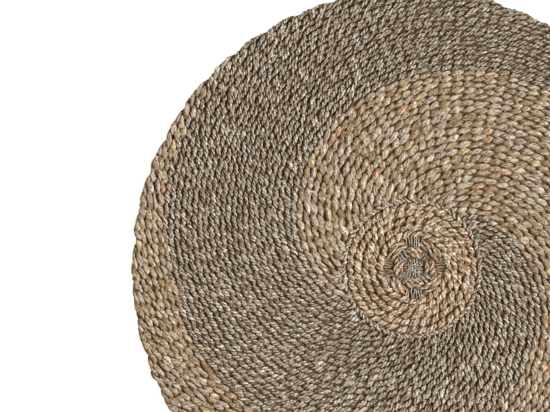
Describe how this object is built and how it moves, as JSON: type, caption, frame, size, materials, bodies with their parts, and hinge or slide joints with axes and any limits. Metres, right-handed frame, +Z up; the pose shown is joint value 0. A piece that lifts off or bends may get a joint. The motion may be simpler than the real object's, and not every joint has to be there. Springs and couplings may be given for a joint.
{
  "type": "round water hyacinth rug",
  "caption": "Flat round rug woven in one piece: a tan water hyacinth arm swirls out from a small round centre through grey seagrass to a scalloped rim.",
  "frame": {"origin": "middle of the underside, on the floor", "axes": "+Z up out of the rug's face; +Y is the top of the rug as seen from above, +X its right side"},
  "size_m": [1.1992, 1.1995, 0.016],
  "materials": {
    "grey_seagrass": "dry two-ply cord in grey-brown, matt, twined in close rows",
    "tan_hyacinth": "dried flattened stalks twisted into plump strands, yellow-tan, soft satin",
    "red_hyacinth": "darker reddish-tan strands of the same stalks, wound in close rings",
    "warp_cord": "thin twisted grey cord, matt"
  },
  "bodies": {
    "root": {"woven_rug": "grey_seagrass"}
  },
  "joints": []
}
